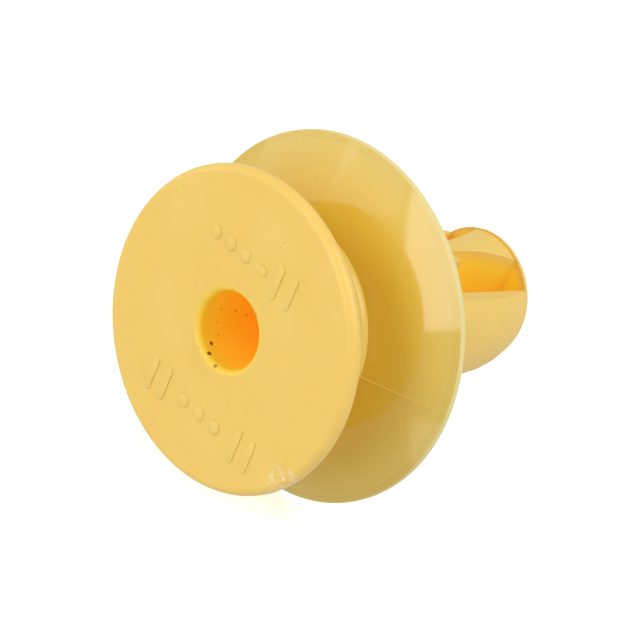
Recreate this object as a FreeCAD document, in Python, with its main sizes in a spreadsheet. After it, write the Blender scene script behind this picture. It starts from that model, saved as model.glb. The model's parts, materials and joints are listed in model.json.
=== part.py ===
import FreeCAD, Part
import os
import re

import Sketcher

# Push-in retainer clip, one yellow acetal moulding drawn as its working pieces.
# The axis is Y: the head is at -Y, the nose at +Y. The origin is on the axis, in the
# plane where the skirt's rim seats on the panel. The snap legs are at +X and -X.

DIMS = {
    # head
    "HeadRadius": 9.0,
    "HeadFront": -7.72,
    "HeadThick": 1.0,
    "HeadEdge": 0.42,
    # blind bore
    "BoreRadius": 2.15,
    "BoreLip": 0.35,
    "BoreEnd": 0.7,
    # neck and the collar in front of the skirt
    "NeckRadius": 5.35,
    "NeckFlare": 0.45,
    "FlareKnee": 0.135,
    "CollarRadius": 5.8,
    "CollarLength": 0.7,
    "CollarEdge": 0.38,
    # conical skirt and its rim
    "RimRadius": 10.35,
    "RimWidth": 0.35,
    "RimSlack": 0.02,
    "RimEdge": 0.07,
    "SkirtSlope": 27.8,
    "SkirtRootWall": 0.95,
    "SkirtEdgeWall": 0.38,
    "SkirtRootEase": 0.1,
    "HubTopRadius": 4.9,
    # hub behind the skirt
    "HubRadius": 3.9,
    "HubStep": 1.1,
    "HubEnd": 1.5,
    "HubEdge": 0.25,
    # centre web and its cheeks
    "WebHalf": 0.5,
    "WebFootHalf": 1.67,
    "WebFootLength": 5.0,
    "WebReach": 3.72,
    "CheekHalf": 1.3,
    "CheekReach": 3.55,
    "CheekEnd": 9.6,
    "CheekFlat": 0.7,
    "CheekSlant": 1.1,
    "CheekEase": 0.25,
    # nose
    "NoseEnd": 13.5,
    "NoseWall": 0.47,
    "NoseRadius": 3.72,
    "NoseDraft": 0.05,
    "NoseEdge": 0.25,
    # snap legs and the outline that they follow
    "LegInner": 2.9,
    "LegHeelHalf": 3.2,
    "LegRootHalf": 2.2,
    "LegStart": 1.85,
    "LegSlack": 0.05,
    "LegStock": 0.1,
    "HeelRadius": 3.95,
    "BarbRadius": 4.8,
    "BarbBack": 3.6,
    "BarbFront": 7.6,
    "FlankRadius": 4.6,
    "FlankBack": 3.1,
    "ShoulderRadius": 4.27,
    "ShoulderBack": 1.5,
    "RootRadius": 3.9,
    "TrimRadius": 6.0,
}


SHEET_WORDS = {word: f"Dims.{word}" for word in DIMS}


def make_sheet(doc):
    sheet = doc.addObject("Spreadsheet::Sheet", "Dims")
    for row, (word, value) in enumerate(DIMS.items(), start=1):
        sheet.set(f"A{row}", word)
        sheet.set(f"B{row}", str(value))
        sheet.setAlias(f"B{row}", word)
    doc.recompute()
    return sheet


def new_body(doc, label):
    body = doc.addObject("PartDesign::Body", label)
    body.Label = label
    return body


def origin_plane(body, role):
    for feature in body.Origin.OriginFeatures:
        if feature.Role == role:
            return feature
    raise ValueError(f"{body.Label} has no {role}")


def in_sheet(text):
    """Turns sheet words such as HeadFront into references such as Dims.HeadFront."""
    return re.sub(r"[A-Za-z]+", lambda found: SHEET_WORDS.get(found[0], found[0]), text)


def outline(body, name, corners, role="XY_Plane"):
    """Adds a closed sketch whose corners are pairs of expressions in the sheet's words."""
    sketch = body.newObject("Sketcher::SketchObject", name)
    sketch.AttachmentSupport = (origin_plane(body, role), [""])
    sketch.MapMode = "FlatFace"
    places = [[in_sheet(text) for text in corner] for corner in corners]
    points = [FreeCAD.Vector(*[plain(sketch, text) for text in place], 0) for place in places]
    count = len(points)
    for here in range(count):
        sketch.addGeometry(Part.LineSegment(points[here], points[(here + 1) % count]))
    for here in range(count):
        sketch.addConstraint(Sketcher.Constraint("Coincident", here, 2, (here + 1) % count, 1))
    for here, place in enumerate(places):
        for kind, text in zip(("DistanceX", "DistanceY"), place):
            value = plain(sketch, text)
            if value == 0:
                axis = -2 if kind == "DistanceX" else -1
                sketch.addConstraint(Sketcher.Constraint("PointOnObject", here, 1, axis))
                continue
            index = sketch.addConstraint(Sketcher.Constraint(kind, here, 1, value))
            sketch.setExpression(f"Constraints[{index}]", text)
    return sketch


def plain(owner, text):
    """The plain number that an expression comes to."""
    value = owner.evalExpression(text)
    return float(getattr(value, "Value", value))


def revolve(body, sketch, name, cuts=False):
    kind = "PartDesign::Groove" if cuts else "PartDesign::Revolution"
    feature = body.newObject(kind, name)
    feature.Profile = sketch
    feature.ReferenceAxis = (sketch, ["V_Axis"])
    feature.Angle = 360
    sketch.Visibility = False
    return feature


def pad_both_ways(body, sketch, name, depth):
    feature = body.newObject("PartDesign::Pad", name)
    feature.Profile = sketch
    feature.Midplane = True
    feature.setExpression("Length", in_sheet(depth))
    return feature


def ring_edges(feature, radius, height):
    """Names of the round edges about the axis with this radius at this height."""
    names = []
    for number, edge in enumerate(feature.Shape.Edges, start=1):
        curve = edge.Curve
        if not isinstance(curve, Part.Circle):
            continue
        if abs(curve.Radius - radius) < SAME and abs(curve.Center.y - height) < SAME:
            names.append(f"Edge{number}")
    if not names:
        raise ValueError(f"no ring edge of radius {radius} at height {height}")
    return names


def round_edges(body, base, name, names, radius_word):
    feature = body.newObject("PartDesign::Fillet", name)
    feature.Base = (base, names)
    feature.setExpression("Radius", in_sheet(radius_word))
    return feature


SKIRT_TAN = "tan(SkirtSlope * 1deg)"
RIM_FACE = "(0 - SkirtEdgeWall)"


def cone_front(radius):
    """Height of the skirt's front face at a radius, as an expression."""
    return f"{RIM_FACE} - (RimRadius - {radius}) * {SKIRT_TAN}"


SKIRT_ROOT = cone_front("CollarRadius")
NOSE_BACK = "NoseEnd - NoseWall"
SPLIT_RADIUS = "(RimRadius - RimWidth)"
CUT_WIDTH = "4 * TrimRadius"
FOOT_STEPS = 6
SAME = 1e-4


def envelope(side):
    """Corners of the space outside the shank, from the hub to the nose, on one side."""
    stations = [
        ("HeelRadius", "HubEnd"),
        ("HeelRadius", "LegStart"),
        ("BarbRadius", "BarbBack"),
        ("BarbRadius", "BarbFront"),
        ("FlankRadius", "NoseEnd - FlankBack"),
        ("ShoulderRadius", "NoseEnd - ShoulderBack"),
        ("RootRadius", NOSE_BACK),
        ("TrimRadius", NOSE_BACK),
        ("TrimRadius", "HubEnd"),
    ]
    return [(f"{side} * ({radius})", height) for radius, height in stations]


def head_plate(doc):
    body = new_body(doc, "head_plate")
    back = "HeadFront + HeadThick"
    sketch = outline(body, "HeadSection", [
        ("BoreRadius", "HeadFront"),
        ("HeadRadius", "HeadFront"),
        ("HeadRadius", back),
        ("BoreRadius", back),
    ])
    disc = revolve(body, sketch, "HeadDisc")
    doc.recompute()
    front = DIMS["HeadFront"]
    rims = ring_edges(disc, DIMS["HeadRadius"], front)
    rims += ring_edges(disc, DIMS["HeadRadius"], front + DIMS["HeadThick"])
    rounded = round_edges(body, disc, "HeadRim", rims, "HeadEdge")
    doc.recompute()
    lip = ring_edges(rounded, DIMS["BoreRadius"], front)
    round_edges(body, rounded, "BoreMouth", lip, "BoreLip")
    return body


def neck(doc):
    body = new_body(doc, "neck")
    start = "HeadFront + HeadThick"
    sketch = outline(body, "NeckSection", [
        ("BoreRadius", start),
        ("NeckRadius + NeckFlare", start),
        ("NeckRadius + FlareKnee", f"{start} + FlareKnee"),
        ("NeckRadius", f"{start} + NeckFlare"),
        ("NeckRadius", f"{SKIRT_ROOT} - CollarLength"),
        ("BoreRadius", f"{SKIRT_ROOT} - CollarLength"),
    ])
    revolve(body, sketch, "NeckTube")
    return body


def skirt_collar(doc):
    body = new_body(doc, "skirt_collar")
    sketch = outline(body, "CollarSection", [
        ("BoreRadius", f"{SKIRT_ROOT} - CollarLength"),
        ("CollarRadius", f"{SKIRT_ROOT} - CollarLength"),
        ("CollarRadius", SKIRT_ROOT),
        ("BoreRadius", SKIRT_ROOT),
    ])
    ring = revolve(body, sketch, "CollarRing")
    doc.recompute()
    front = plain(sketch, in_sheet(f"{SKIRT_ROOT} - CollarLength"))
    edge = ring_edges(ring, DIMS["CollarRadius"], front)
    round_edges(body, ring, "CollarFront", edge, "CollarEdge")
    return body


def skirt(doc):
    body = new_body(doc, "skirt")
    edge = f"{SPLIT_RADIUS} - RimSlack"
    sketch = outline(body, "SkirtSection", [
        ("HubTopRadius", SKIRT_ROOT),
        ("CollarRadius", SKIRT_ROOT),
        (edge, cone_front(f"({edge})")),
        (edge, f"{cone_front(f'({edge})')} + SkirtEdgeWall"),
        ("CollarRadius - SkirtRootEase", f"{SKIRT_ROOT} + SkirtRootWall"),
        ("HubTopRadius", f"{SKIRT_ROOT} + SkirtRootWall"),
    ])
    revolve(body, sketch, "SkirtCone")
    return body


def skirt_rim(doc):
    body = new_body(doc, "skirt_rim")
    sketch = outline(body, "RimSection", [
        (SPLIT_RADIUS, cone_front(SPLIT_RADIUS)),
        ("RimRadius", RIM_FACE),
        ("RimRadius", "0"),
        (SPLIT_RADIUS, f"{cone_front(SPLIT_RADIUS)} + SkirtEdgeWall"),
    ])
    ring = revolve(body, sketch, "RimRing")
    doc.recompute()
    radius = DIMS["RimRadius"]
    edges = ring_edges(ring, radius, 0) + ring_edges(ring, radius, -DIMS["SkirtEdgeWall"])
    round_edges(body, ring, "RimRound", edges, "RimEdge")
    return body


def shank_hub(doc):
    body = new_body(doc, "shank_hub")
    wall_end = f"{SKIRT_ROOT} + SkirtRootWall"
    sketch = outline(body, "HubSection", [
        ("BoreRadius", SKIRT_ROOT),
        ("HubTopRadius", SKIRT_ROOT),
        ("HubTopRadius", wall_end),
        ("HubRadius", f"{wall_end} + HubStep"),
        ("HubRadius", "HubEnd"),
        ("0", "HubEnd"),
        ("0", "BoreEnd"),
        ("BoreRadius", "BoreEnd"),
    ])
    barrel = revolve(body, sketch, "HubBarrel")
    doc.recompute()
    edge = ring_edges(barrel, DIMS["HubRadius"], DIMS["HubEnd"])
    round_edges(body, barrel, "HubEndRound", edge, "HubEdge")
    return body


def must_shrink(body, before, what):
    if not body.Shape.Volume < before:
        raise ValueError(f"{what} cuts nothing from {body.Label}")


def trim_to_shank(doc, body, name, side):
    """Turns away what stands outside the shank's outline."""
    before = body.Shape.Volume
    sketch = outline(body, name + "Outline", envelope(side))
    revolve(body, sketch, name, cuts=True)
    doc.recompute()
    must_shrink(body, before, name)


def centre_web(doc):
    """A slab along the axis whose thickness swells into the nose as a parabola."""
    body = new_body(doc, "centre_web")
    foot = []
    for step in range(FOOT_STEPS + 1):
        share = step / FOOT_STEPS
        half = f"WebHalf + (WebFootHalf - WebHalf) * {share ** 2}"
        height = f"{NOSE_BACK} - WebFootLength * {1 - share}"
        foot.append((half, height))
    right = [("WebHalf", "HubEnd")] + foot
    left = [(f"0 - ({half})", height) for half, height in reversed(right)]
    sketch = outline(body, "WebSection", right + left)
    pad_both_ways(body, sketch, "WebPlate", "2 * WebReach")
    doc.recompute()
    before = body.Shape.Volume
    sketch = outline(body, "WebOutline", [
        ("WebReach", "HubEnd"),
        ("WebReach", NOSE_BACK),
        ("TrimRadius", NOSE_BACK),
        ("TrimRadius", "HubEnd"),
    ])
    revolve(body, sketch, "WebTrim", cuts=True)
    doc.recompute()
    must_shrink(body, before, "the web's outline")
    return body


def slant_both_ways(doc, body, name, near, far):
    """Cuts off, above and below, what lies beyond a line from near to far, each a height and a half-width."""
    before = body.Shape.Volume
    for end, hand in (("Top", 1), ("Bottom", -1)):
        sketch = outline(body, f"{name}{end}Section", [
            (near[0], f"{hand} * ({near[1]})"),
            (far[0], f"{hand} * ({far[1]})"),
            (far[0], f"{hand} * TrimRadius"),
            ("NoseEnd", f"{hand} * TrimRadius"),
            ("NoseEnd", f"{hand} * ({near[1]})"),
        ], "YZ_Plane")
        cut = body.newObject("PartDesign::Pocket", name + end)
        cut.Profile = sketch
        cut.Midplane = True
        cut.setExpression("Length", in_sheet(CUT_WIDTH))
    doc.recompute()
    must_shrink(body, before, name)


def web_cheek(doc, label, side):
    body = new_body(doc, label)
    near = f"{side} * WebHalf"
    far = f"{side} * CheekHalf"
    sketch = outline(body, "CheekSection", [
        (near, "HubEnd"),
        (far, "HubEnd"),
        (far, "CheekEnd - CheekEase"),
        (f"{side} * (CheekHalf - CheekEase)", "CheekEnd"),
        (near, "CheekEnd"),
    ])
    pad_both_ways(body, sketch, "CheekPlate", "2 * CheekReach")
    doc.recompute()
    top = ("CheekEnd", "CheekFlat")
    foot = ("CheekEnd - CheekSlant", "CheekReach")
    slant_both_ways(doc, body, "CheekSlope", top, foot)
    return body


def nose_cap(doc):
    body = new_body(doc, "nose_cap")
    sketch = outline(body, "NoseSection", [
        ("0", NOSE_BACK),
        ("NoseRadius + NoseDraft", NOSE_BACK),
        ("NoseRadius", "NoseEnd"),
        ("0", "NoseEnd"),
    ])
    disc = revolve(body, sketch, "NoseDisc")
    doc.recompute()
    edge = ring_edges(disc, DIMS["NoseRadius"], DIMS["NoseEnd"])
    round_edges(body, disc, "NoseRound", edge, "NoseEdge")
    return body


def snap_leg(doc, label, side):
    body = new_body(doc, label)
    sketch = outline(body, "LegSection", [
        (f"{side} * LegInner", "LegStart"),
        (f"{side} * (BarbRadius + LegStock)", "LegStart"),
        (f"{side} * (BarbRadius + LegStock)", f"{NOSE_BACK} - LegSlack"),
        (f"{side} * LegInner", f"{NOSE_BACK} - LegSlack"),
    ])
    pad_both_ways(body, sketch, "LegBlock", "2 * LegHeelHalf")
    doc.recompute()
    slant_both_ways(doc, body, "LegTaper", (NOSE_BACK, "LegRootHalf"), ("LegStart", "LegHeelHalf"))
    trim_to_shank(doc, body, "LegTrim", side)
    return body


def build(doc):
    make_sheet(doc)
    return [
        head_plate(doc),
        neck(doc),
        skirt_collar(doc),
        skirt(doc),
        skirt_rim(doc),
        shank_hub(doc),
        centre_web(doc),
        web_cheek(doc, "web_cheek_right", 1),
        web_cheek(doc, "web_cheek_left", -1),
        nose_cap(doc),
        snap_leg(doc, "snap_leg_right", 1),
        snap_leg(doc, "snap_leg_left", -1),
    ]


def check(doc, pieces):
    for thing in doc.Objects:
        if "Invalid" in thing.State or "Error" in thing.State:
            raise ValueError(f"{thing.Label} failed: {thing.State}")
    for piece in pieces:
        shape = piece.Shape
        if shape.isNull() or not shape.isValid():
            raise ValueError(f"{piece.Label} has no valid shape")


def write(pieces):
    os.makedirs("parts", exist_ok=True)
    for piece in pieces:
        piece.Shape.exportStep(f"parts/{piece.Label}.step")
        size = piece.Shape.BoundBox
        print(f"{piece.Label}: {piece.Shape.Volume:.2f} mm3, {len(piece.Shape.Solids)} solid,"
              f" Y {size.YMin:.2f} to {size.YMax:.2f}")


document = FreeCAD.newDocument("RetainerClip")
parts = build(document)
document.recompute()
check(document, parts)
write(parts)
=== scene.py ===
# %% [markdown]
# # A push-in retainer clip in yellow acetal
# This clip holds a trim panel on a car door or a cabinet. A flat round head carries the trim, a thin conical
# skirt seals the hole, and a split shank snaps into the sheet behind. The CAD frame has its sizes and its
# joints. This lesson gives it the skin of the real moulding: rounded edges, raised marks, a gloss skirt and
# the dust and scuffs that a used clip has.

import json
import math

import bmesh
import bpy
from mathutils import Matrix, Vector


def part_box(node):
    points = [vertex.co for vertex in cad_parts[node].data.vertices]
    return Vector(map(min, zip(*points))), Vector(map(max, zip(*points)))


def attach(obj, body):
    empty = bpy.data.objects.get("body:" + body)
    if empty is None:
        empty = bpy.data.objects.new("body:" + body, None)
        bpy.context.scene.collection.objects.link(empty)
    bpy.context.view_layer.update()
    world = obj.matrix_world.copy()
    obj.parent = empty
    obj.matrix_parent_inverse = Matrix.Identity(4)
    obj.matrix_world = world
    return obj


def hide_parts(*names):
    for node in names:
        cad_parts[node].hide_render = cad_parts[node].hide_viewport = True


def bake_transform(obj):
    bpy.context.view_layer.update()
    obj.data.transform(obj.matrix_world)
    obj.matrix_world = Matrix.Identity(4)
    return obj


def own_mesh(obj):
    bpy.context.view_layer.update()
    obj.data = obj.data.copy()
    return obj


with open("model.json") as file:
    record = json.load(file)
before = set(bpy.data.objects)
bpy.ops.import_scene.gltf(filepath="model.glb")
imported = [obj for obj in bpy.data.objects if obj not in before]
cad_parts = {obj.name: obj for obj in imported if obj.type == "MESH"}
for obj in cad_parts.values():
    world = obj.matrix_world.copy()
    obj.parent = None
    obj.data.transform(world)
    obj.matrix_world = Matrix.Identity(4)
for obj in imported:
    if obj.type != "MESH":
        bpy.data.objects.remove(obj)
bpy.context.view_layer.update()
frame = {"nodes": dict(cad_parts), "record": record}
MM = 0.001

# %% [markdown]
# ## Where the pieces are
# Everything round on this clip turns about one axis, Y, so a radius and two heights place each ring. They are
# read from the CAD nodes, and the bore's radius comes from its mount. Nothing is measured twice, so the
# Blender skin can't drift away from the CAD model.


# %% Read the sizes
def ring_of(node):
    """Outer radius, front height and back height of a round node, in millimetres."""
    low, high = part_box(node)
    return high[0] / MM, low[1] / MM, high[1] / MM


def mount(name):
    return next(entry for entry in frame["record"]["mounts"] if entry["name"] == name)


HEAD_R, HEAD_FRONT, HEAD_BACK = ring_of("head_plate")
COLLAR_R, COLLAR_FRONT, SKIRT_ROOT = ring_of("skirt_collar")
SKIRT_R, _, SKIRT_LIP = ring_of("skirt")
RIM_R, _, SEATING = ring_of("skirt_rim")
HUB_TOP_R, _, HUB_END = ring_of("shank_hub")
NOSE_R, NOSE_BACK, NOSE_END = ring_of("nose_cap")
BORE_R = mount("centre_bore")["dims"]["r_mm"]
NECK_R = mount("neck_groove")["dims"]["r_mm"]
print(f"head {2 * HEAD_R:.1f}, skirt {2 * RIM_R:.1f}, bore {2 * BORE_R:.1f}, nose at {NOSE_END:.1f}")

# %% [markdown]
# ## A rounded section
# The head, neck, skirt and nose are bodies of revolution, so each one is a section of a few corners, turned
# about the axis. Every corner has its own rounding. Rounding the section before turning it gives true round
# edges that catch a highlight, and it costs no modifier. Beside each rounding stands one more point, which
# keeps the flat face flat in its shading: without it a mirror image bends near every edge.


# %% Rounding the corners of a section
SUPPORT = 0.02


def rounded(corners, steps=6):
    """A closed outline from corners (u, v, radius), with an arc in place of each rounded corner.

    A support point just outside each arc keeps the flat face beside it flat in its shading.
    """
    points = []
    count = len(corners)
    for here, (u, v, radius) in enumerate(corners):
        corner = Vector((u, v))
        if radius == 0:
            points.append(corner)
            continue
        back = (Vector(corners[here - 1][:2]) - corner).normalized()
        ahead = (Vector(corners[(here + 1) % count][:2]) - corner).normalized()
        half = back.angle(ahead) / 2
        centre = corner + (back + ahead).normalized() * radius / math.sin(half)
        first = corner + back * radius / math.tan(half) - centre
        last = corner + ahead * radius / math.tan(half) - centre
        turn = first.angle_signed(last)
        run = radius / math.tan(half) + SUPPORT
        points.append(corner + back * run)
        for step in range(steps + 1):
            spoke = first.copy()
            spoke.rotate(Matrix.Rotation(-turn * step / steps, 2))
            points.append(centre + spoke)
        points.append(corner + ahead * run)
    return points


# %% [markdown]
# ## Making a mesh
# A new piece is made from a list of points and a list of faces. Doubled points are joined first, because a
# doubled point splits the shading. Then all faces are turned outwards, and only edges that turn by more than
# 50 degrees stay sharp.


# %% Mesh, lathe and loft helpers
SHARP_DEGREES = 50
JOIN_DISTANCE = 0.00005
EMPTY_EDGE = 0.00001


def finish_mesh(piece):
    """Joins double points, turns the faces outwards and shades the mesh smooth between its sharp edges."""
    mesh = piece.data
    work = bmesh.new()
    work.from_mesh(mesh)
    bmesh.ops.remove_doubles(work, verts=work.verts, dist=JOIN_DISTANCE * MM)
    bmesh.ops.dissolve_degenerate(work, edges=work.edges, dist=EMPTY_EDGE * MM)
    bmesh.ops.recalc_face_normals(work, faces=work.faces)
    work.to_mesh(mesh)
    work.free()
    mesh.shade_smooth()
    mesh.set_sharp_from_angle(angle=math.radians(SHARP_DEGREES))


def new_piece(name, points, faces):
    mesh = bpy.data.meshes.new(name)
    mesh.from_pydata([tuple(point) for point in points], [], faces)
    piece = bpy.data.objects.new(name, mesh)
    bpy.context.scene.collection.objects.link(piece)
    finish_mesh(piece)
    return piece


def on_axis(radius, height, angle):
    """A point at a radius and angle about the clip's axis. Angle 0 is +X and a quarter turn is +Z."""
    return Vector((radius * math.cos(angle), height, radius * math.sin(angle))) * MM


def lathe(name, section, turns=240):
    """Turns a closed section of (radius, height) points about the clip's axis."""
    count = len(section)
    points = []
    faces = []
    for turn in range(turns):
        angle = 2 * math.pi * turn / turns
        following = (turn + 1) % turns
        for here, (radius, height) in enumerate(section):
            there = (here + 1) % count
            points.append(on_axis(max(radius, 0), height, angle))
            faces.append((turn * count + here, turn * count + there,
                          following * count + there, following * count + here))
    return new_piece(name, points, faces)


def stack_faces(count, levels):
    """Faces of a stack of levels with count points each: the two ends, then the walls between the levels."""
    last = (levels - 1) * count
    faces = [tuple(range(count)), tuple(range(last, last + count))]
    for level in range(levels - 1):
        below = level * count
        above = below + count
        for here in range(count):
            there = (here + 1) % count
            faces.append((below + here, below + there, above + there, above + here))
    return faces


def loft(name, sections):
    """Skins a row of sections that have the same number of points, and closes both ends."""
    points = [point for section in sections for point in section]
    return new_piece(name, points, stack_faces(len(sections[0]), len(sections)))


# %% [markdown]
# ## Yellow acetal
# Acetal is a milky plastic. Light goes a little way into it, and in the hollows it bounces from wall to wall
# and comes out orange. On the thick head a small subsurface share of the Principled shader does the first.
# The thin pieces have none, because light would leak out of their hidden faces and leave grey seams. In the
# hollows the orange is painted light: a deeper orange in the base colour and a faint orange emission stand
# for the light that bounces between the walls and comes through them. Both follow the distance from the
# clip's axis, so they stay on the plastic from every side. The colour drifts slightly where the melt flowed,
# and a fine grain from the mould steel breaks up the gloss. Noise in object space does this, because the
# pieces have no UVs to paint.


# %% Node helpers
def add_node(tree, kind, **settings):
    node = tree.nodes.new(kind)
    for name, value in settings.items():
        if name in node.inputs:
            node.inputs[name].default_value = value
        else:
            setattr(node, name, value)
    return node


def join(tree, source, output, target, socket):
    tree.links.new(source.outputs[output], target.inputs[socket])


def ramp(tree, low, high, dark, light):
    """A colour ramp from dark to light between two places."""
    node = tree.nodes.new("ShaderNodeValToRGB")
    node.color_ramp.elements[0].position = low
    node.color_ramp.elements[0].color = dark
    node.color_ramp.elements[1].position = high
    node.color_ramp.elements[1].color = light
    return node


def grey(level):
    return (level, level, level, 1)


def multiply(tree, first, first_socket, second, second_socket):
    """The product of two outputs."""
    product = add_node(tree, "ShaderNodeMath", operation="MULTIPLY")
    join(tree, first, first_socket, product, 0)
    join(tree, second, second_socket, product, 1)
    return product


def noise(tree, place, scale, detail, roughness=0.5):
    """Noise in the piece's own space."""
    cloud = add_node(tree, "ShaderNodeTexNoise", Scale=scale, Detail=detail, Roughness=roughness)
    join(tree, place, "Object", cloud, "Vector")
    return cloud


# %% Masks by place
def fade(tree, start, end):
    """1 at start and 0 at end, both in millimetres."""
    node = add_node(tree, "ShaderNodeMapRange")
    for socket, value in (("From Min", start * MM), ("From Max", end * MM), ("To Min", 1), ("To Max", 0)):
        node.inputs[socket].default_value = value
    return node


def ring_mask(tree, place, inner, outer):
    """1 inside the clip near its axis, falling to 0 from inner to outer and at the end of the nose."""
    flat = add_node(tree, "ShaderNodeVectorMath", operation="MULTIPLY")
    flat.inputs[1].default_value = (1, 0, 1)
    join(tree, place, "Object", flat, 0)
    away = add_node(tree, "ShaderNodeVectorMath", operation="LENGTH")
    join(tree, flat, "Vector", away, 0)
    near = fade(tree, inner, outer)
    join(tree, away, "Value", near, "Value")
    split = add_node(tree, "ShaderNodeSeparateXYZ")
    join(tree, place, "Object", split, "Vector")
    before = fade(tree, NOSE_BACK + 0.05, NOSE_BACK + 0.15)
    join(tree, split, "Y", before, "Value")
    return multiply(tree, near, 0, before, 0)


# %% [markdown]
# ## Dust and rub marks
# Fine dust sticks to a moulding, and it gathers in the bore. A Voronoi texture gives round specks of one
# size, and a slow noise lets them through only in patches. Where the head's edge was rubbed, acetal turns
# white in small flecks.


# %% Dust and rub marks
def specks(tree, place, scale, size, low, high):
    """Small round specks, gathered where a slow noise lies between low and high."""
    cells = add_node(tree, "ShaderNodeTexVoronoi", Scale=scale, Randomness=1)
    join(tree, place, "Object", cells, "Vector")
    dot = ramp(tree, size * 0.6, size, grey(1), grey(0))
    join(tree, cells, "Distance", dot, "Fac")
    cloud = noise(tree, place, scale / 4, 2)
    gathered = ramp(tree, low, high, grey(0), grey(1))
    join(tree, cloud, "Fac", gathered, "Fac")
    return multiply(tree, dot, "Color", gathered, "Color")


def tint_over(tree, share, under, under_socket, colour):
    """Lays a colour over another, as much as share says."""
    mix = add_node(tree, "ShaderNodeMix", data_type="RGBA")
    tree.links.new(share.outputs[0], mix.inputs[0])
    tree.links.new(under.outputs[under_socket], mix.inputs[6])
    mix.inputs[7].default_value = (*colour, 1)
    return mix


CHALK = (0.98, 0.93, 0.80)
RUB_REACH = 1.3


def scuffed(tree, place, under, spot):
    """Whitens the skin in flecks round one spot, where an edge has been rubbed."""
    away = add_node(tree, "ShaderNodeVectorMath", operation="DISTANCE")
    join(tree, place, "Object", away, 0)
    away.inputs[1].default_value = Vector(spot) * MM
    near = fade(tree, 0, RUB_REACH)
    join(tree, away, "Value", near, "Value")
    flecks = ramp(tree, 0.50, 0.60, grey(0), grey(1))
    join(tree, noise(tree, place, 2600, 4, 0.7), "Fac", flecks, "Fac")
    return tint_over(tree, multiply(tree, near, 0, flecks, "Color"), under, 2, CHALK)


# %% The acetal material
DUST = (0.16, 0.06, 0.012)
# Painted light: this orange over the hollows stands for light bounced between their walls.
PAINTED_BOUNCE_ORANGE = (1.0, 0.72, 0.050)
# Painted light: this orange emission in the hollows stands for light that comes through the walls.
PAINTED_GLOW_ORANGE = (1.0, 0.58, 0.02, 1)
RED_GOES_FURTHEST = (1.0, 0.40, 0.08)
STREAK = (0.97, 0.95, 0.85)
ACETAL_IOR = 1.48
NO_RING = (0.0, 0.001)


def coloured(tree, place, colour, ring, painted_ring_colour, gritty, rub):
    """The base colour: flow streaks, the painted light laid over the ring, dust, grit in the ring and the rub
    mark.
    """
    streak = [channel * factor for channel, factor in zip(colour, STREAK)]
    tint = ramp(tree, 0.35, 0.65, (*streak, 1), (*colour, 1))
    join(tree, noise(tree, place, 260, 3), "Fac", tint, "Fac")
    # Painted light: over the ring the colour turns to one that stands for light, such as the bounced orange
    # in the bore, the lemon of light through the skirt's lip and the bead's edge highlight.
    with_painted_light = tint_over(tree, ring, tint, "Color", painted_ring_colour)
    paint = tint_over(tree, specks(tree, place, 1900, 0.07, 0.58, 0.62), with_painted_light, 2, DUST)
    if gritty:
        coarse = specks(tree, place, 1500, 0.22, 0.44, 0.52)
        paint = tint_over(tree, multiply(tree, coarse, 0, ring, 0), paint, 2, DUST)
    if rub:
        paint = scuffed(tree, place, paint, rub)
    return paint


def acetal(name, colour, roughness, grain, ring=NO_RING, painted_ring_colour=PAINTED_BOUNCE_ORANGE, gritty=False, painted_glow=0, rub=None,
           milky=0, depth=0.05):
    """Yellow acetal. The lengths are in mm: grain is the height of the mould's texture, ring holds the radii
    between which the painted ring colour and the painted orange emission fade out, and depth is how far light
    goes in.
    """
    material = bpy.data.materials.new(name)
    material.use_nodes = True
    tree = material.node_tree
    skin = tree.nodes["Principled BSDF"]
    skin.inputs["IOR"].default_value = ACETAL_IOR
    skin.inputs["Subsurface Weight"].default_value = milky
    skin.inputs["Subsurface Radius"].default_value = RED_GOES_FURTHEST
    skin.inputs["Subsurface Scale"].default_value = depth * MM
    place = add_node(tree, "ShaderNodeTexCoord")
    inside = ring_mask(tree, place, *ring)
    join(tree, coloured(tree, place, colour, inside, painted_ring_colour, gritty, rub), 2, skin, "Base Color")
    # Painted light: a faint orange emission over the ring, though the plastic is no lamp, stands for light
    # that comes through the walls.
    if painted_glow:
        share = add_node(tree, "ShaderNodeMath", operation="MULTIPLY")
        share.inputs[1].default_value = painted_glow
        join(tree, inside, 0, share, 0)
        join(tree, share, 0, skin, "Emission Strength")
        skin.inputs["Emission Color"].default_value = PAINTED_GLOW_ORANGE

    gloss = ramp(tree, 0.3, 0.7, grey(roughness * 0.85), grey(roughness * 1.2))
    join(tree, noise(tree, place, 900, 4, 0.6), "Fac", gloss, "Fac")
    join(tree, gloss, "Color", skin, "Roughness")
    bump = add_node(tree, "ShaderNodeBump", Strength=0.6, Distance=grain * MM)
    join(tree, noise(tree, place, 9000, 3, 0.55), "Fac", bump, "Height")
    join(tree, bump, "Normal", skin, "Normal")
    return material


# %% [markdown]
# ## One plastic, eight finishes, with painted light and shade
# The clip is one plastic from one shot, but the mould isn't polished alike all over. The head and the shank
# are satin, the skirt is glossy, and the neck and the hub lie between. Some base colours differ as well, and
# these differences are painted light and shade. The skirt's orange is darker and deeper than the head's, in
# part as painted shade from the head in front of it, and the neck and the collar are paler, as a painted
# sheen. The skirt thins towards its lip, so more white light comes through there: a lemon colour painted
# towards the lip stands for that light. The bead carries the painted lemon, and a pale line painted along its
# outer edge stands for its edge highlight.

# %% The clip's finishes, with painted light and shade
BODY = (0.93, 0.64, 0.155)
# The skirt's orange, darker and deeper than the head's: in part painted shade from the head in front of the
# skirt.
SKIRT_WITH_PAINTED_SHADE = (0.84, 0.560, 0.064)
# The neck and collar colour, paler than the head's: a painted sheen.
PAINTED_SHEEN_PALE = (0.90, 0.665, 0.145)
BETWEEN = (0.90, 0.64, 0.12)
# Painted light: a lemon for the white light that comes through the skirt's thin lip.
PAINTED_THROUGH_LIGHT_LEMON = (0.75, 0.55, 0.12)
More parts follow.
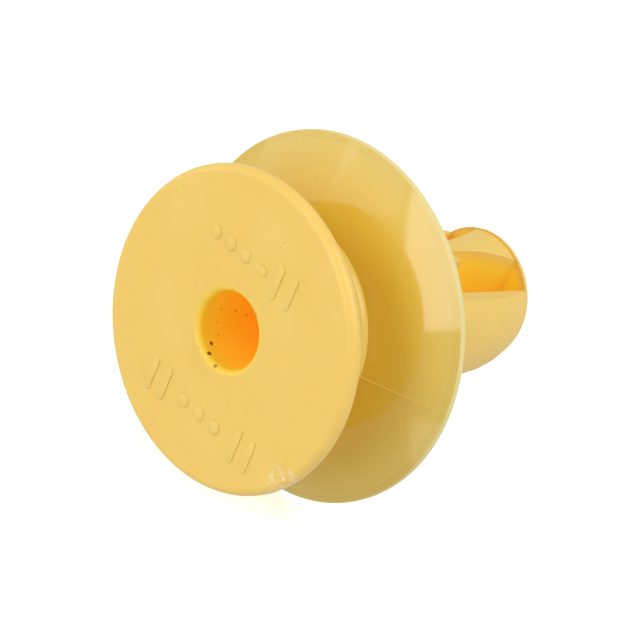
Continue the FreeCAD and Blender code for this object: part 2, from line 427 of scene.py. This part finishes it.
# Painted highlight: a pale colour for the line along the bead's outer edge.
PAINTED_EDGE_HIGHLIGHT = (0.84, 0.73, 0.32)
# The painted bounce orange fades out over this ring at the mouth of the bore.
BORE_RING = (BORE_R, BORE_R + 0.4)
# Strength of the painted orange emission in the bore.
BORE_PAINTED_GLOW = 0.035
# Radius where the painted lemon begins on the skirt.
PAINTED_LEMON_START = 7.2
MARK_HEIGHT = 0.07
FACE = HEAD_FRONT + MARK_HEIGHT
RUB_SPOT = (7.3, FACE, -5.05)
SATIN = acetal("acetal_satin", BODY, 0.33, 0.008, ring=BORE_RING, gritty=True, painted_glow=BORE_PAINTED_GLOW, rub=RUB_SPOT,
               milky=0.35, depth=0.25)
SMALL = acetal("acetal_satin_small", BODY, 0.40, 0.008)
# Painted light: the web, the cheeks and the nose turn orange and give a faint orange emission where they face
# the slots.
INNER = acetal("acetal_satin_inner", BODY, 0.40, 0.008, ring=(2.9, 3.8), painted_glow=0.05)
NOSE = acetal("acetal_satin_nose", BODY, 0.40, 0.008, ring=(3.25, 3.75), painted_glow=0.13)
CORE = acetal("acetal_core", PAINTED_SHEEN_PALE, 0.20, 0.003, ring=BORE_RING, gritty=True, painted_glow=BORE_PAINTED_GLOW)
BARREL = acetal("acetal_barrel", BETWEEN, 0.25, 0.005, ring=BORE_RING, gritty=True, painted_glow=BORE_PAINTED_GLOW)
# Painted light: the skirt turns lemon from this radius out to its lip.
GLOSS = acetal("acetal_gloss", SKIRT_WITH_PAINTED_SHADE, 0.08, 0.002, ring=(RIM_R, PAINTED_LEMON_START), painted_ring_colour=PAINTED_THROUGH_LIGHT_LEMON)
# Painted light: the bead is lemon all over, with a painted highlight along its outer edge.
LIP = acetal("acetal_gloss_lip", PAINTED_THROUGH_LIGHT_LEMON, 0.08, 0.002, ring=(RIM_R, RIM_R - 0.08), painted_ring_colour=PAINTED_EDGE_HIGHLIGHT)
print("finishes:", ", ".join(material.name for material in bpy.data.materials if "acetal" in material.name))

# %% [markdown]
# ## Dressing a piece
# Each finished piece gets its material, and the CAD nodes that it stands for are hidden. Its box is printed,
# so that a piece that grew past its CAD node shows at once.


# %% Dress and measure
def span(piece):
    """The lowest and the highest corner of a piece's own points."""
    points = [vertex.co for vertex in piece.data.vertices]
    return ([min(point[axis] for point in points) for axis in range(3)],
            [max(point[axis] for point in points) for axis in range(3)])


def dress(piece, material, slot_name, *replaced):
    """Gives a root piece its finish and hides the CAD nodes that it stands for."""
    piece.data.materials.clear()
    piece.data.materials.append(material)
    if replaced:
        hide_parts(*replaced)
    low, high = ([round(c / MM, 2) for c in corner] for corner in span(piece))
    print(f"{piece.name}: {len(piece.data.polygons)} faces, {low} to {high}")


# %% [markdown]
# ## The head
# The head is a coin with a soft edge. Its face lies a hair behind the tips of the raised marks, because the
# marks are the highest thing on a moulded face. The mouth of the bore has a wide soft lip, which the mould's
# core pin leaves.

# %% Head disc
head = lathe("head_disc", rounded([
    (BORE_R, FACE, 0.38),
    (HEAD_R, FACE, 0.50),
    (HEAD_R, HEAD_BACK, 0.40),
    (BORE_R, HEAD_BACK, 0),
], steps=10))
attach(head, "root")
dress(head, SATIN, "acetal_yellow", "head_plate")

# %% [markdown]
# ## The raised marks
# A mould leaves small raised marks on the face, such as a cavity number and a material code. Here they are
# plain dots and dashes with no meaning. Each one is a low prism with a soft top edge, and its foot sinks a
# little into the face, so no slit shows. They stand in two rows, one on each side of the bore.


# %% Marks on the face
SINK = 0.03
MARK_EDGE = 0.05


def prism(outline):
    """Points and faces of a low prism that rises out of the head's face, drawn in at its top."""
    centre = sum((Vector(point) for point in outline), Vector((0, 0))) / len(outline)
    height = MARK_HEIGHT + SINK
    points = []
    for rise, inset in ((0, 0), (height - MARK_EDGE, 0), (height, MARK_EDGE)):
        for point in outline:
            away = Vector(point) - centre
            away = away * (1 - inset / away.length)
            points.append(Vector((centre.x + away.x, FACE + SINK - rise, centre.y + away.y)) * MM)
    return points, stack_faces(len(outline), 3)


# %% Dots and dashes
def dot_outline(across, up, radius, steps=24):
    turns = [2 * math.pi * step / steps for step in range(steps)]
    return [(across + radius * math.cos(turn), up + radius * math.sin(turn)) for turn in turns]


def dash_outline(across, up, length, width):
    corner = min(length, width) * 0.45
    signs = [(-1, -1), (1, -1), (1, 1), (-1, 1)]
    corners = [(across + side * length / 2, up + rise * width / 2, corner) for side, rise in signs]
    return [tuple(point) for point in rounded(corners)]


def gather(name, prisms):
    """One piece from many prisms."""
    points = []
    faces = []
    for some_points, some_faces in prisms:
        start = len(points)
        points += some_points
        faces += [tuple(index + start for index in face) for face in some_faces]
    return new_piece(name, points, faces)


TOP_ROW = 4.3
LOW_ROW = -5.2
STROKE = 0.5
TALL = 2.1
DOT_R = 0.42
outlines = [dot_outline(across, TOP_ROW, DOT_R) for across in (-3.2, -2.0, -0.8)]
outlines += [dash_outline(0.5, TOP_ROW, 1.0, STROKE)]
outlines += [dash_outline(across, TOP_ROW, STROKE, TALL) for across in (1.8, 2.9)]
outlines += [dash_outline(across, LOW_ROW, STROKE, TALL) for across in (-3.6, -2.5, 3.4, 4.5)]
outlines += [dot_outline(across, LOW_ROW, DOT_R) for across in (-0.9, 0.4, 1.7)]
marks = gather("face_marks", [prism(outline) for outline in outlines])
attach(marks, "root")
dress(marks, SMALL, "acetal_yellow")

# %% [markdown]
# ## Neck and collar
# Between the head and the skirt is a plain round neck, which the keyhole of the trim slides onto. A short
# collar with a soft front edge braces the root of the skirt. In the gap it shows as a bright ring: its soft
# edge catches the light, and its colour is painted paler as a sheen.

# %% Neck tube and collar ring
NECK_FLARE = 0.45
neck = lathe("neck_tube", rounded([
    (BORE_R, HEAD_BACK, 0),
    (NECK_R + NECK_FLARE, HEAD_BACK, 0),
    (NECK_R, HEAD_BACK + NECK_FLARE, 0.3),
    (NECK_R, COLLAR_FRONT, 0),
    (BORE_R, COLLAR_FRONT, 0),
]))
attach(neck, "root")
dress(neck, CORE, "acetal_yellow_gloss", "neck")

collar = lathe("collar_ring", rounded([
    (BORE_R, COLLAR_FRONT, 0),
    (COLLAR_R, COLLAR_FRONT, 0.55),
    (COLLAR_R, SKIRT_ROOT, 0),
    (BORE_R, SKIRT_ROOT, 0),
], steps=10))
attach(collar, "root")
dress(collar, CORE, "acetal_yellow_gloss", "skirt_collar")

# %% [markdown]
# ## The skirt
# The skirt is the spring of the clip: a thin cone that flattens when the rim meets the panel. It is thick at
# the root and thin at the lip. Its slope runs from the skirt's root to the rim's seat, less the lip's wall,
# so the cone and the rim always meet.

# %% The slope of the cone
LIP_WALL = 0.38
ROOT_WALL = 0.95
SLOPE = (SEATING - LIP_WALL - SKIRT_ROOT) / (RIM_R - COLLAR_R)


def cone_height(radius):
    """Height of the skirt's front face at a radius."""
    return SKIRT_ROOT + (radius - COLLAR_R) * SLOPE


print(f"slope {math.degrees(math.atan(SLOPE)):.1f} degrees")

# %% Cone
cone = lathe("skirt_cone", rounded([
    (HUB_TOP_R, SKIRT_ROOT, 0),
    (COLLAR_R, SKIRT_ROOT, 0),
    (SKIRT_R, cone_height(SKIRT_R), 0),
    (SKIRT_R, SKIRT_LIP, 0),
    (COLLAR_R - 0.1, SKIRT_ROOT + ROOT_WALL, 0.5),
    (HUB_TOP_R, SKIRT_ROOT + ROOT_WALL, 0),
]), turns=360)
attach(cone, "root")
dress(cone, GLOSS, "acetal_yellow_gloss", "skirt")
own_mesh(cone)

# %% [markdown]
# ## Flash lines
# The mould opens in two halves, and where they meet a thin ridge of plastic stays on the skirt. It is a
# three-sided strip laid up the cone, with its foot sunk into the skirt.

# %% Flash lines
FLASH_WIDTH = 0.20
FLASH_HEIGHT = 0.06
FLASH_FOOT = 0.05
FLASH_STEPS = 20


def flash_line(name, azimuth, start, end):
    """A thin ridge up the front of the skirt, from one radius to another."""
    turn = math.radians(azimuth)
    edge = Vector((-math.sin(turn), 0, math.cos(turn))) * FLASH_WIDTH / 2 * MM
    up = Vector((0, -1, 0)) * MM
    sections = []
    for step in range(FLASH_STEPS + 1):
        radius = start + (end - start) * step / FLASH_STEPS
        foot = on_axis(radius, cone_height(radius), turn)
        sunk = foot - up * FLASH_FOOT
        sections.append([sunk + edge, foot + up * FLASH_HEIGHT, sunk - edge])
    return loft(name, sections)


for side, azimuth in (("right", 3.0), ("left", 183.0)):
    line = flash_line(f"flash_line_{side}", azimuth, COLLAR_R + 0.05, SKIRT_R - 0.3)
    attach(line, "root")
    dress(line, GLOSS, "acetal_yellow_gloss")
    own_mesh(line)

# %% [markdown]
# ## Rim bead
# The rim is the edge that meets the panel, so it slides as a whole while the cone behind it is squashed. A
# slit of a few thousandths of a millimetre parts the two. It is too fine to see, and it lets them slide.

# %% Rim bead
RIM_SLIT = 0.005
RIM_EDGE = 0.07
BEAD_INNER = SKIRT_R + RIM_SLIT
bead = lathe("rim_bead", rounded([
    (BEAD_INNER, cone_height(BEAD_INNER), 0),
    (RIM_R, cone_height(RIM_R), RIM_EDGE),
    (RIM_R, SEATING, RIM_EDGE),
    (BEAD_INNER, SKIRT_LIP, 0),
]), turns=360)
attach(bead, "rim")
dress(bead, LIP, "acetal_yellow_gloss", "skirt_rim")

# %% [markdown]
# ## Hub
# Behind the skirt a short barrel closes the bore and joins the shank. Its waist is a soft cone, so the
# skirt's root has no sharp corner to crack at.

# %% Hub barrel
HUB_R = 3.9
HUB_WAIST = 2.05
BORE_END = 0.7
hub = lathe("hub_barrel", rounded([
    (BORE_R, SKIRT_ROOT, 0),
    (HUB_TOP_R, SKIRT_ROOT, 0),
    (HUB_TOP_R, SKIRT_ROOT + ROOT_WALL, 0.3),
    (HUB_R, SKIRT_ROOT + HUB_WAIST, 0.6),
    (HUB_R, HUB_END, 0.25),
    (0, HUB_END, 0),
    (0, BORE_END, 0),
    (BORE_R, BORE_END, 0.3),
]))
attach(hub, "root")
dress(hub, BARREL, "acetal_yellow", "shank_hub")

# %% [markdown]
# ## The split shank
# The shank is a wedge-shaped body cut by two slots. Its outside follows one smooth line, which swells to the
# barbs and draws in to the nose. The web and the two legs are lofts: a section in X and Z is carried along Y,
# and the line sets how far out each leg's section reaches.


# %% Outline of the shank
LEG_START = 1.85
STATIONS = [(LEG_START, 3.95), (3.5, 4.74), (3.9, 4.79), (7.6, 4.79), (10.4, 4.6), (12.0, 4.26),
            (13.03, 3.88)]
ROOT_R = STATIONS[-1][1]


def shank_radius(height):
    """Radius of the shank's outside, straight between its stations."""
    if height <= STATIONS[0][0]:
        return STATIONS[0][1]
    for (low, start), (high, end) in zip(STATIONS, STATIONS[1:]):
        if height <= high:
            share = (height - low) / (high - low)
            return start + (end - start) * share
    return STATIONS[-1][1]


def heights(start, end, steps):
    """Evenly spaced heights from start to end."""
    return [start + (end - start) * step / steps for step in range(steps + 1)]


def soften_edges(piece, width):
    """Rounds the edges that turn by more than 40 degrees, as a mould's corners are."""
    bevel = piece.modifiers.new("soft_edges", "BEVEL")
    bevel.width = width * MM
    bevel.segments = 3
    bevel.limit_method = "ANGLE"
    bevel.angle_limit = math.radians(40)
    bevel.harden_normals = True


# %% [markdown]
# ## Centre web, cheeks and nose
# The web is the flat blade in the middle of the shank, and it flares where it runs into the nose. Two stepped
# cheeks stiffen it. Their CAD solids already have the right shape, so they only get their finish and a soft
# edge, while the web is made again as a loft, because its flare is smoother than flat CAD faces. Where the
# web, the cheeks and the nose face the slots, their finish carries painted light: a deeper orange and a faint
# orange emission for the light bounced between the walls and let through them.


# %% Centre web and cheeks
def web_section(height, half, radius):
    """A slab section of one thickness whose two outer ends follow the shank's outside."""
    top = []
    for step in range(WEB_STEPS + 1):
        across = half - 2 * half * step / WEB_STEPS
        top.append((across, math.sqrt(radius ** 2 - across ** 2)))
    outline = top + [(-across, -up) for across, up in top]
    return [Vector((across, height, up)) * MM for across, up in outline]


WEB_STEPS = 8
WEB_HALF = 0.5
WEB_FOOT = 1.67
WEB_REACH = 3.72
FOOT_LENGTH = 5.0
FOOT_START = NOSE_BACK - FOOT_LENGTH
CHEEK_EDGE = 0.08


def web_half(height):
    """Half the web's thickness: plain at first, then flaring into the nose."""
    if height < FOOT_START:
        return WEB_HALF
    share = (height - FOOT_START) / (NOSE_BACK - FOOT_START)
    return WEB_HALF + (WEB_FOOT - WEB_HALF) * share ** 2


levels = heights(HUB_END, FOOT_START, 10) + heights(FOOT_START, NOSE_BACK, 12)[1:]
web = loft("web_plate", [web_section(level, web_half(level), WEB_REACH) for level in levels])
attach(web, "root")
dress(web, INNER, "acetal_yellow", "centre_web")

for side in ("right", "left"):
    cheek = frame["nodes"][f"web_cheek_{side}"]
    cheek.data.materials.clear()
    cheek.data.materials.append(INNER)
    soften_edges(cheek, CHEEK_EDGE)
    print(f"{cheek.name}: CAD solid kept, edges softened by {CHEEK_EDGE} mm")

# %% Nose disc
nose = lathe("nose_disc", rounded([
    (0, NOSE_BACK, 0),
    (ROOT_R - 0.06, NOSE_BACK, 0),
    (NOSE_R - 0.05, NOSE_END, 0.28),
    (0, NOSE_END, 0),
]))
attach(nose, "root")
dress(nose, NOSE, "acetal_yellow", "nose_cap")

# %% [markdown]
# ## Snap legs
# A leg is a strip of the shank's wall that grows from the nose and ends free behind the panel. The real leg
# bends, so it isn't hinged like a door.


# %% Leg lofts
LEG_INNER = 2.9
LEG_HEEL_HALF = 3.2
LEG_ROOT_HALF = 2.2
LEG_WALL = 0.35
LEG_STEPS = 20
LEG_EDGE = 0.28
LEG_OVERLAP = 0.12


def leg_section(height, sign):
    """A leg's section at one height: flat inside, round outside and narrower towards the nose."""
    radius = shank_radius(height)
    share = (height - LEG_START) / (NOSE_BACK - LEG_START)
    widest = math.sqrt(radius ** 2 - (LEG_INNER + LEG_WALL) ** 2)
    half = min(LEG_HEEL_HALF + (LEG_ROOT_HALF - LEG_HEEL_HALF) * share, widest)
    edge = math.asin(half / radius)
    outline = [(LEG_INNER, -half)]
    for step in range(LEG_STEPS + 1):
        angle = -edge + 2 * edge * step / LEG_STEPS
        outline.append((radius * math.cos(angle), radius * math.sin(angle)))
    outline.append((LEG_INNER, half))
    return [Vector((sign * across, height, up)) * MM for across, up in outline]


for side, sign in (("right", 1), ("left", -1)):
    levels = heights(LEG_START, NOSE_BACK + LEG_OVERLAP, 40)
    leg = loft(f"leg_{side}_strip", [leg_section(level, sign) for level in levels])
    soften_edges(leg, LEG_EDGE)
    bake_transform(leg)
    dress(leg, SMALL, "acetal_yellow", f"snap_leg_{side}")

# %% [markdown]
# ## Camera
# The camera looks at the head from the front, a little from the right and from above. The lens is long, so
# the two discs keep their true shapes, and the camera is rolled, because the clip lies at a slant in its own
# frame. Its place is given as three directions, which the lights below use too.

# %% Camera
BACK = Vector((0.5148, -0.735, 0.4412)).normalized()
UP = Vector((-0.5515, 0.1096, 0.8269))
ROLL_DEGREES = 0.5
UP.rotate(Matrix.Rotation(math.radians(ROLL_DEGREES), 3, BACK))
RIGHT = UP.cross(BACK).normalized()
UP = BACK.cross(RIGHT).normalized()
DISTANCE = 205.06
LENS = 209.64375
aim = RIGHT * 0.10 - UP * 0.18 + Vector((0, -0.35, 0))
camera_data = bpy.data.cameras.new("camera")
camera_data.sensor_width = 36
camera_data.lens = LENS
camera_data.clip_start = 0.01
camera = bpy.data.objects.new("camera", camera_data)
bpy.context.scene.collection.objects.link(camera)
turned = Matrix((RIGHT, UP, BACK)).transposed().to_4x4()
camera.matrix_world = Matrix.Translation((aim + BACK * DISTANCE) * MM) @ turned
bpy.context.scene.camera = camera
print(f"camera {DISTANCE} mm away, lens {LENS:.0f} mm")

# %% [markdown]
# ## Lights
# Big soft boxes give the soft, nearly shadowless light of a catalogue. The tall one on the left stands where
# the glossy skirt mirrors it, as a pale band that stops at a straight line. Two weaker boxes above it let
# the band fade out, and a low one lifts the lower rim. The right-hand box lights the shank.


# %% Lights
BOX_DISTANCE = 0.40


def soft_box(name, across, up, out, width, height, power):
    """A rectangular light that stands in a direction given by the camera's right, up and back."""
    light = bpy.data.lights.new(name, "AREA")
    light.shape = "RECTANGLE"
    light.size = width
    light.size_y = height
    light.energy = power
    way = (RIGHT * across + UP * up + BACK * out).normalized()
    side = UP.cross(way).normalized()
    lamp = bpy.data.objects.new(name, light)
    lamp.matrix_world = Matrix.Translation(way * BOX_DISTANCE) @ Matrix(
        (side, way.cross(side), way)).transposed().to_4x4()
    bpy.context.scene.collection.objects.link(lamp)
    print(f"{name}: {width} m x {height} m, {power} W")


soft_box("left_box", -0.55, 0.19, 0.83, 0.12, 0.37, 0.51)
soft_box("upper_left_box", -0.74, 0.50, 0.45, 0.17, 0.17, 0.09)
soft_box("side_box", -0.86, 0.50, 0.0, 0.26, 0.16, 0.10)
soft_box("right_box", 0.80, 0.35, 0.45, 0.22, 0.26, 0.54)
soft_box("low_box", -0.20, -0.80, 0.55, 0.34, 0.16, 0.20)

# %% [markdown]
# ## Surroundings, floor and bounces
# An even white world fills the shadows. The clip rests on white paper, which glows a little so that it stays
# white without a hot light. The paper isn't seen in the clip's gloss and throws no colour on it, as if the
# clip stood on glass above it. Light has to bounce many times between the walls of the bore before it gets
# out again, so the limits on bounces are raised: with the usual four, the hollows come out far too dark.

# %% World, paper and bounces
WORLD_LEVEL = 0.645
PAPER_GLOW = 0.55
FLOOR_HALF = 0.6
FLOOR_Z = -RIM_R * MM
world = bpy.data.worlds.new("studio")
world.use_nodes = True
world.node_tree.nodes["Background"].inputs["Color"].default_value = (1, 1, 1, 1)
world.node_tree.nodes["Background"].inputs["Strength"].default_value = WORLD_LEVEL
bpy.context.scene.world = world

floor_corners = [(FLOOR_HALF * x, FLOOR_HALF * y, FLOOR_Z) for x, y in ((-1, -1), (1, -1), (1, 1), (-1, 1))]
floor = new_piece("floor", floor_corners, [(0, 1, 2, 3)])
paper = bpy.data.materials.new("white_paper")
paper.use_nodes = True
sheet = paper.node_tree.nodes["Principled BSDF"]
sheet.inputs["Base Color"].default_value = (0.95, 0.95, 0.95, 1)
sheet.inputs["Emission Color"].default_value = (1, 1, 1, 1)
sheet.inputs["Emission Strength"].default_value = PAPER_GLOW
sheet.inputs["Roughness"].default_value = 0.9
floor.data.materials.append(paper)
floor.visible_diffuse = False
floor.visible_glossy = False
bpy.context.scene.view_settings.view_transform = "Standard"
bpy.context.scene.cycles.max_bounces = 32
bpy.context.scene.cycles.diffuse_bounces = 24
print(f"floor {2 * FLOOR_HALF} m wide at {FLOOR_Z / MM:.2f} mm")
